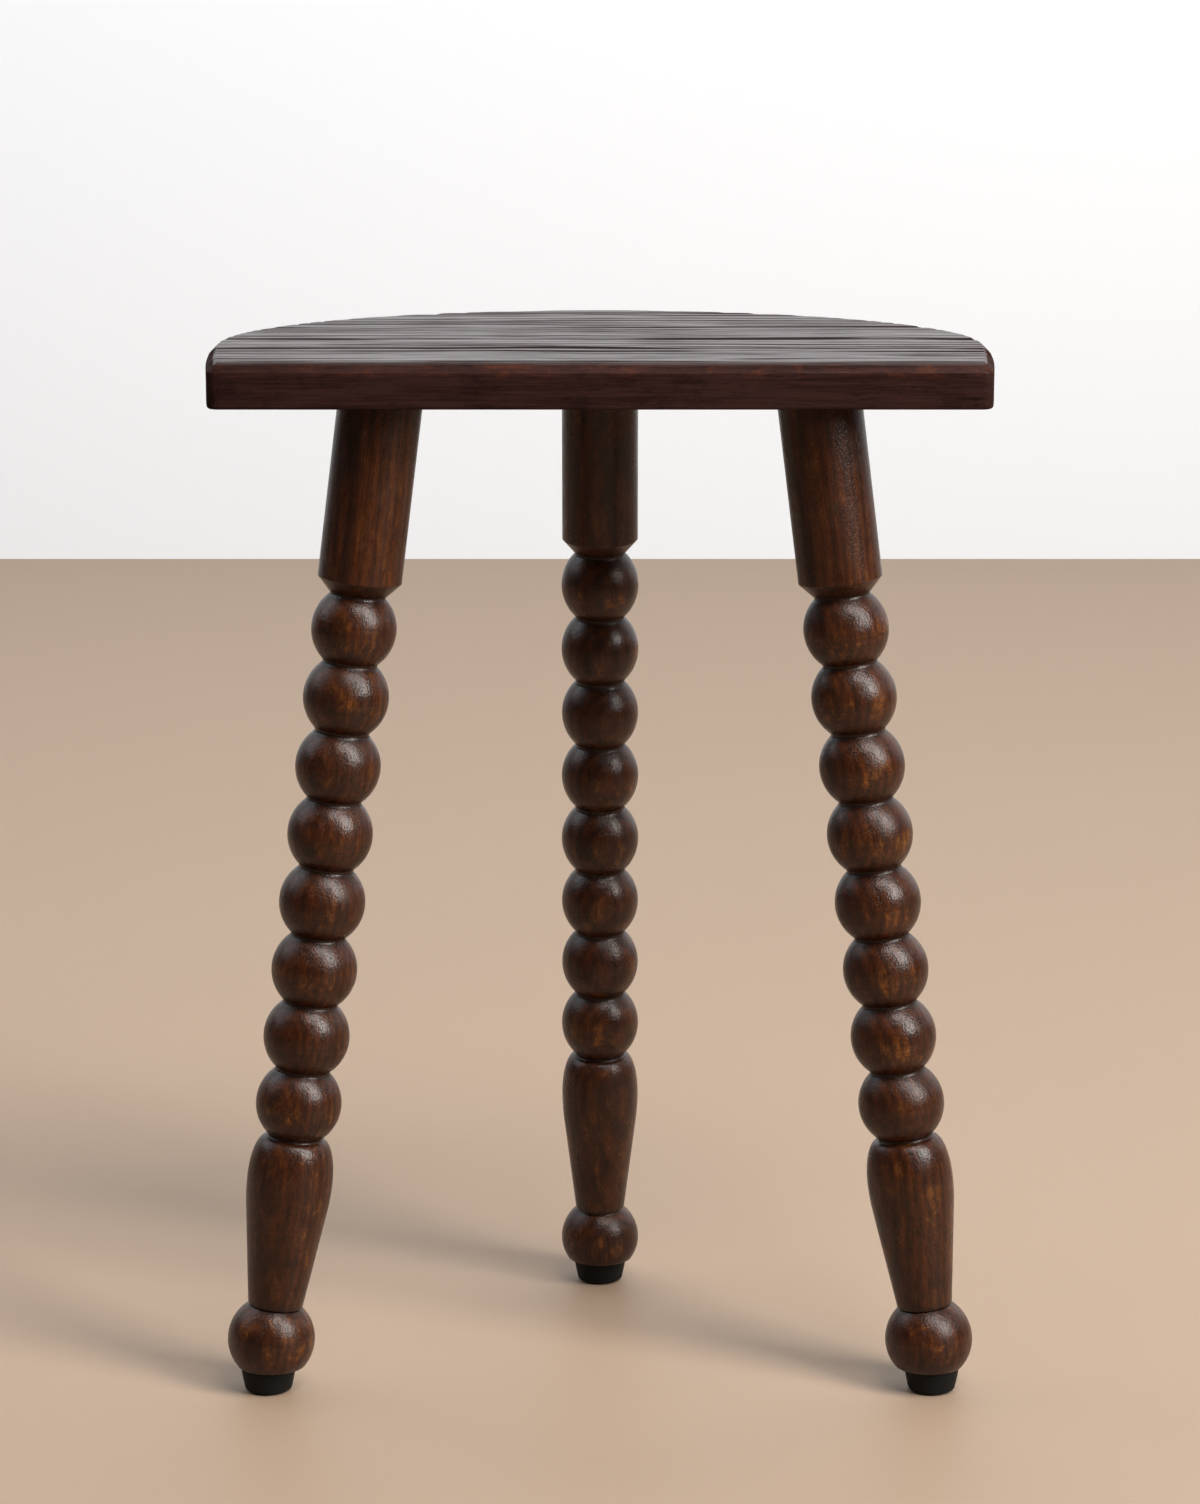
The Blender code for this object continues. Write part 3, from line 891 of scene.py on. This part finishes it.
def hollow(x, y, z):
    """How deep the brush went, from 0 on a ridge to 1 in the deepest hollow."""
    number = ring_number(x, y, z)
    ring = np.floor(number).astype(int)
    part = number - ring
    wide = np.isin(ring, WIDE_RINGS)
    narrow_shape = ease(0.02, 0.30, part) * ease(0.56, 0.42, part)
    wide_shape = ease(0.0, 0.40, part) * ease(0.80, 0.66, part)
    each = np.random.default_rng(8).uniform(0.25, 0.8, 400)[ring % 400]
    along = 0.62 + 0.38 * smooth_noise(x, y, 55, 9, 5)
    coming = ease(-0.55, 0.45, smooth_noise(x, y, 75, 30, 7))
    fine = 0.5 + 0.5 * smooth_noise(x, y, 42, 2.6, 6)
    finer = 0.5 + 0.5 * smooth_noise(x, y, 24, 1.1, 9)
    depth = np.where(wide, wide_shape * (0.22 + 0.63 * coming), narrow_shape * each * along)
    return np.clip(depth + 0.30 * fine * fine + 0.12 * finer, 0, 1)


middle_line = np.array(WIDE_RINGS_AT, float)
WIDE_RINGS = np.floor(ring_number(0 * middle_line, middle_line, 0.0)).astype(int)
print("rings across the board:", int(ring_number(0.0, DEPTH, 0.0) - ring_number(0.0, 0.0, 0.0)))


# %% [markdown]
# ## The board
#
# The top is a grid whose rows run with the grain, so that every ridge follows a row. Its outer points
# are also the first ring of the rim, which goes over the chamfer, down the side and round the bottom
# edge. The relief fades out down the rim, since the brush only reaches the top and its edges.
# The underside is a flat sheet with three mortises bored at each leg's lean.

# %% Top grid and rim
def outline_loop():
    """The closed outline: along the straight edge, up the right side, over the back and down the left."""
    front_x = np.linspace(-RIGHT[0, 0], RIGHT[0, 0], ACROSS)
    front = np.stack([front_x, np.zeros(ACROSS)], -1)
    front_in = np.tile((0.0, 1.0), (ACROSS, 1))
    across = RIGHT[-1, 0] * np.linspace(1, -1, ACROSS)[1:-1]
    back, back_in = back_curve(np.arccos(across / HALF_WIDTH))
    mirror = np.array([-1, 1])
    points = np.concatenate([front, RIGHT[1:], back, (RIGHT * mirror)[:0:-1]])
    inwards = np.concatenate([front_in, RIGHT_IN[1:], back_in, (RIGHT_IN * mirror)[:0:-1]])
    return points, inwards


LOOP, LOOP_IN = outline_loop()


def top_grid():
    """Points of the top as rows along the grain, whose ends lie on the chamfer's inner edge."""
    inset = rim_profile()[0, 0]
    inner = RIGHT + RIGHT_IN * inset
    x = inner[:, :1] * np.linspace(-1, 1, ACROSS)
    grid = np.stack([x, np.repeat(inner[:, 1:], ACROSS, axis=1)], -1)
    first = ACROSS + len(inner) - 1
    grid[-1, 1:-1] = (LOOP + LOOP_IN * inset)[first:first + ACROSS - 2][::-1]
    return grid


def rim_profile():
    """(inset, drop) from the chamfer's inner edge to the underside, with softly rounded corners."""
    corners = [(CHAMFER + 3, 0), (CHAMFER, 0), (0, CHAMFER), (0, THICKNESS), (BOTTOM_ROUND + 2, THICKNESS)]
    path = rounded(corners, [0.8, 1.0, BOTTOM_ROUND], steps=5)
    return filled(path[1:-1], 1.25)


def with_height(plan, z):
    """Plan points with the same third coordinate."""
    return np.concatenate([plan, np.full((len(plan), 1), z)], 1)


def board_points():
    """All points of the board's skin in mm, their outward directions, and the number of rim rings."""
    flat_top = with_height(top_grid().reshape(-1, 2), TOP_Z)
    profile = rim_profile()
    tangent = np.gradient(profile, axis=0)
    tangent /= np.hypot(*tangent.T)[:, None]
    rings = [with_height(LOOP + LOOP_IN * inset, TOP_Z - drop) for inset, drop in profile[1:]]
    outward = [with_height(-LOOP_IN * down, -inwards) for inwards, down in tangent[1:]]
    upright = np.tile((0.0, 0.0, 1.0), (len(flat_top), 1))
    return np.concatenate([flat_top] + rings), np.concatenate([upright] + outward), len(rings)


def brushed(points, normals):
    """Sinks each point along its own normal by the depth of the hollow, and gives the hollows."""
    x, y, z = points[:, 0], points[:, 1], points[:, 2] - TOP_Z
    depth = hollow(x, y, z)
    side = 1 - ease(-CHAMFER - 2, -CHAMFER * 0.3, z)
    end_grain = np.abs(normals[:, 0]) * side
    reach = 1 - side * (0.9 - 0.35 * end_grain)
    reach = reach * ease(-THICKNESS, -THICKNESS + 3, z)
    sunk = points - normals * (depth * reach * BRUSH_DEPTH)[:, None]
    return sunk, depth * reach


# %% Faces of the top, rim and underside
MORTISE_AROUND = 48  # points round a mortise


def boundary_of_top(rows):
    """Indices of the top grid's edge points, in the order of the outline loop."""
    index = np.arange(rows * ACROSS).reshape(rows, ACROSS)
    return np.concatenate([index[0], index[1:, -1], index[-1, -2:0:-1], index[:0:-1, 0]])


def underside_sheet(outline, holes):
    """Triangles of the flat underside: the outline and the mortise mouths, filled without the holes."""
    points = [Vector(p) for p in np.concatenate([outline] + holes).tolist()]
    edges, first = [], 0
    for loop in [outline] + holes:
        n = len(loop)
        edges += [(first + i, first + (i + 1) % n) for i in range(n)]
        first += n
    found = delaunay_2d_cdt(points, edges, [], 1, 1e-9)
    assert len(found[0]) == len(points)
    tris = np.array(found[2])
    loop_of = np.repeat(np.arange(len(holes) + 1), [len(outline)] + [len(hole) for hole in holes])[tris]
    in_a_hole = (loop_of[:, 0] > 0) & (loop_of == loop_of[:, :1]).all(axis=1)
    return tris[~in_a_hole]


def facing(points, faces, outward):
    """Turns each face whose normal doesn't point along `outward`."""
    a, b, c = (points[faces[:, i]] for i in (0, 1, 2))
    wrong = (np.cross(b - a, c - a) * outward).sum(1) < 0
    return np.where(wrong[:, None], faces[:, ::-1], faces)


def mortise_grid(axis):
    """Rings of one mortise from its mouth on the underside up to its blind end, in mm."""
    top, down, spoke = axis[0] / MM, axis[3], spokes(axis, MORTISE_AROUND)
    radius, depth = TENON_RADIUS + GLUE_GAP, TENON_LENGTH + GLUE_GAP
    mouth = level(axis, spoke, radius, UNDERSIDE)
    rows = [mouth, np.full(MORTISE_AROUND, -4.0), np.full(MORTISE_AROUND, -depth)]
    wall = [top + s[:, None] * down + radius * spoke for s in rows]
    wall.append(top - depth * down + 0.5 * spoke)
    return np.array(wall) - (0, EDGE_Y, 0)


def make_board():
    """Points, quads, flat triangles and brushed depths of the board's closed skin, in mm."""
    points, normals, rim_rings = board_points()
    skin, depth = brushed(points, normals)
    rows, n = len(RIGHT), len(LOOP)

    # The top, the seam round it and the rim.
    row, column = np.meshgrid(np.arange(rows - 1), np.arange(ACROSS - 1), indexing="ij")
    here = row * ACROSS + column
    top_quads = np.stack([here, here + 1, here + ACROSS + 1, here + ACROSS], -1).reshape(-1, 4)
    edge = boundary_of_top(rows)
    after = np.roll(np.arange(n), -1)
    first_ring = rows * ACROSS + np.arange(n)
    seam = np.stack([edge, first_ring, first_ring[after], edge[after]], -1)
    quads = [top_quads, seam, ring_faces(rim_rings, n, rows * ACROSS)]
    last_ring = first_ring + (rim_rings - 1) * n

    # The underside, and a wall and a cap for each mortise.
    mortises = [mortise_grid(axis) for axis in AXES.values()]
    sheet = underside_sheet(skin[last_ring, :2], [wall[0, :, :2] for wall in mortises])
    first = len(skin)
    around = np.arange(MORTISE_AROUND)
    next_one = (around + 1) % MORTISE_AROUND
    middle = first + sum(wall[..., 0].size for wall in mortises)
    index_of, caps = [last_ring], []
    for k, wall in enumerate(mortises):
        index_of.append(first + around)
        quads.append(ring_faces(len(wall), MORTISE_AROUND, first))
        first += wall[..., 0].size
        end = first - MORTISE_AROUND
        caps.append(np.stack([np.full(MORTISE_AROUND, middle + k), end + next_one, end + around], -1))
    walls = [wall.reshape(-1, 3) for wall in mortises]
    middles = [wall[-1:].mean(1) for wall in mortises]
    everything = np.concatenate([skin] + walls + middles)
    flat = np.concatenate([np.concatenate(index_of)[sheet]] + caps)
    return everything, np.concatenate(quads), facing(everything, flat, np.array([0, 0, -1.0])), depth


everything, quads, flat, depth = make_board()
board_mesh = mesh_from_arrays("seat_board_brushed", (everything + (0, EDGE_Y, 0)) * MM, quads, flat)
# The underside and the blind ends are cut flat, so they are not shaded as if they curved.
board_mesh.polygons.foreach_set("use_smooth", np.arange(len(board_mesh.polygons)) < len(quads))
drop = TOP_Z - everything[:, 2]
rubbed = ease(0.4, 1.6, drop) * (ease(CHAMFER + 3.5, CHAMFER - 0.5, drop) + 0.12)
add_value(board_mesh, "rubbed", np.clip(rubbed, 0, 1))
add_value(board_mesh, "edge", ease(0.4, 2.0, drop))
add_value(board_mesh, "valley", np.concatenate([depth, np.zeros(len(everything) - len(depth))]))
add_place(board_mesh, "blank", (everything[:, [1, 2, 0]] + (300, 0, 400)) * MM)
install("seat_board_brushed", board_mesh, BOARD_FINISH, "seat_board")

# %% [markdown]
# ## Rubber feet
#
# A rubber foot is moulded in one piece: a tapered plug with a well-rounded lower edge, a recess
# underneath for the screw's head, and a bore through the middle. It is a closed profile turned round
# an upright axis, so the grid closes on itself both ways.

# %% Moulded rubber finish
def moulded_finish():
    """Matt black rubber with a faint grey bloom."""
    made, tree, shader = new_finish("moulded_rubber", 0.6)
    shader.inputs["Specular IOR Level"].default_value = 0.12
    place = tree.nodes.new("ShaderNodeTexCoord").outputs["Object"]
    bloom = noise(tree, place, 0.006, 0.006, detail=4.0)
    colour = blend_colour(tree, bloom, (0.0035, 0.0038, 0.004), (0.010, 0.011, 0.011))
    tree.links.new(colour, shader.inputs["Base Color"])
    tree.links.new(spread(tree, bloom, 0.3, 0.7, 0.5, 0.68), shader.inputs["Roughness"])
    relief(tree, shader, [(noise(tree, place, 0.0005, 0.0005), 0.0001, 0.4)])
    return made


RUBBER = moulded_finish()
print("made", RUBBER.name)


# %% The feet
PAD_AROUND = 96
PAD_TOP = BALL_CUT / MM - GLUE_GAP
PAD_BORE = 2.5
PAD_RECESS_RADIUS = 6.5
PAD_RECESS_TOP = 8.0


def turned_ring(name, profile, centre, around):
    """Turns a closed profile of (radius, height), running down its outer side, round an upright axis.

    A point is (radius * cos(a), radius * sin(a), height), moved to the centre.
    """
    angle = angles_round(around)
    circle = np.stack([np.cos(angle), np.sin(angle), np.zeros(around)], -1)
    radius, height = profile.T[:, :, None, None]
    grid = (radius * circle + height * np.array([0, 0, 1.0]) + (*centre, 0)) * MM
    i = np.arange(around)
    after = (i + 1) % around
    last = (len(profile) - 1) * around
    closing = np.stack([last + i, i, after, last + after], -1)
    quads = np.concatenate([ring_faces(len(profile), around), closing])
    return mesh_from_arrays(name, grid.reshape(-1, 3), quads)


def pad_profile():
    """From the bore over the flat top, down the tapered side, round the lower edge and up the recess."""
    corners = [(PAD_BORE, 11), (PAD_BORE, PAD_TOP), (14.8, PAD_TOP), (14.1, 8.5), (12.55, 1.2), (10.2, 0),
               (PAD_RECESS_RADIUS, 0), (PAD_RECESS_RADIUS, PAD_RECESS_TOP), (PAD_BORE, PAD_RECESS_TOP),
               (PAD_BORE, 10)]
    return filled(rounded(corners, [0.2, 0.5, 12, 1.8, 2.5, 0.4, 0.3, 0.2]), 1.6)


for side in AXES:
    name = f"{side}_foot_rubber"
    mesh = turned_ring(name, pad_profile(), foot_place(side), PAD_AROUND)
    install(name, mesh, RUBBER, f"{side}_foot_pad")

# %% [markdown]
# ## Washers and screws
#
# Each foot is held by one zinc-plated screw through a washer, hidden in the recess. The thread is a
# helix: at height z and angle a the radius rises and falls with z / pitch - a / (2 pi), and the whole
# thread narrows to a point. The pan head has a cross recess pressed into it.

# %% Zinc-plated steel
def zinc_finish():
    """Zinc plating: a bright metal with cloudy changes in tone and gloss."""
    made, tree, shader = new_finish("zinc_plated_steel", 0.32)
    shader.inputs["Metallic"].default_value = 1.0
    place = tree.nodes.new("ShaderNodeTexCoord").outputs["Object"]
    cloud = noise(tree, place, 0.002, 0.002, detail=4.0)
    colour = blend_colour(tree, cloud, (0.46, 0.47, 0.48), (0.66, 0.66, 0.64))
    tree.links.new(colour, shader.inputs["Base Color"])
    tree.links.new(spread(tree, cloud, 0.3, 0.7, 0.24, 0.42), shader.inputs["Roughness"])
    relief(tree, shader, [(noise(tree, place, 0.0003, 0.0003), 0.00003, 0.4)])
    return made


ZINC = zinc_finish()
print("made", ZINC.name)

# %% Washers
WASHER_AROUND = 72
WASHER_HOLE = 2.4
WASHER_RADIUS = 6.1
low, high = (corner.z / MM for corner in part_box("left_foot_washer"))
middle = (low + high) / 2
corners = [(WASHER_HOLE, middle), (WASHER_HOLE, high), (WASHER_RADIUS, high), (WASHER_RADIUS, low),
           (WASHER_HOLE, low), (WASHER_HOLE, middle - 0.01)]
washer_profile = filled(rounded(corners, [0.15, 0.25, 0.25, 0.15]), 0.9)
for side in AXES:
    name = f"{side}_plain_washer"
    mesh = turned_ring(name, washer_profile, foot_place(side), WASHER_AROUND)
    install(name, mesh, ZINC, f"{side}_foot_washer")

# %% Screws
screw_low, screw_high = (corner.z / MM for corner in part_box("left_foot_screw"))
SCREW_AROUND = 64
HEAD_RADIUS = 3.95
HEAD_SEAT = screw_low + 2.6
THREAD_CREST = 1.88
THREAD_ROOT = 1.38
THREAD_START = HEAD_SEAT + 3.2
THREAD_PITCH = 1.6
POINT_LENGTH = 5.0
ARM_HALF_WIDTH = 0.55
ARM_LENGTH = 2.1
ARM_DEPTH = 1.35


def screw_grid(centre):
    """Rings from the point down the thread, over the head and to the middle of its recess."""
    a = angles_round(SCREW_AROUND)
    z = np.linspace(screw_high - 0.05, THREAD_START, 210)[:, None]
    turn = (z / THREAD_PITCH - a / (2 * math.pi)) % 1
    tooth = np.clip(1 - np.abs(turn - 0.5) / 0.36, 0, 1) ** 0.8
    narrowing = np.clip((screw_high - z) / POINT_LENGTH, 0.02, 1) ** 0.75
    fade = ease(THREAD_START, HEAD_SEAT + 5.0, z)
    rise = THREAD_CREST - THREAD_ROOT
    radius = narrowing * (THREAD_ROOT + rise * (tooth * fade + 0.55 * (1 - fade)))
    thread = np.stack([radius * np.cos(a), radius * np.sin(a), z + 0 * a], -1)
    neck = THREAD_ROOT + 0.55 * rise
    corners = [(neck, HEAD_SEAT + 3), (neck, HEAD_SEAT), (HEAD_RADIUS, HEAD_SEAT),
               (HEAD_RADIUS, HEAD_SEAT - 1.1), (2.9, screw_low), (2.6, screw_low)]
    outer = filled(rounded(corners, [0.3, 0.2, 0.9, 0.5]), 0.5)
    head = np.stack([outer[:, :1] * np.cos(a), outer[:, :1] * np.sin(a), outer[:, 1:] + 0 * a], -1)
    r = np.linspace(2.5, 0.06, 26)[:, None]
    x, y = r * np.cos(a), r * np.sin(a)
    # Each arm of the cross is a box in which the larger of its two relative distances is below 1.
    one_arm = np.maximum(np.abs(x) / ARM_HALF_WIDTH, np.abs(y) / ARM_LENGTH)
    other_arm = np.maximum(np.abs(y) / ARM_HALF_WIDTH, np.abs(x) / ARM_LENGTH)
    slope = 1 - 0.35 * np.clip(r / ARM_LENGTH, 0, 1)
    sunk = ARM_DEPTH * ease(1.12, 0.82, np.minimum(one_arm, other_arm)) * slope
    face = np.stack([x, y, screw_low + sunk], -1)
    return (np.concatenate([thread, head, face]) + (*centre, 0)) * MM


for side in AXES:
    name = f"{side}_pan_head_screw"
    mesh = closed_skin(name, screw_grid(foot_place(side)))
    install(name, mesh, ZINC, f"{side}_foot_screw")

low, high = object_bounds()
print("visual size in mm:", [round((b - a) / MM, 2) for a, b in zip(low, high)])
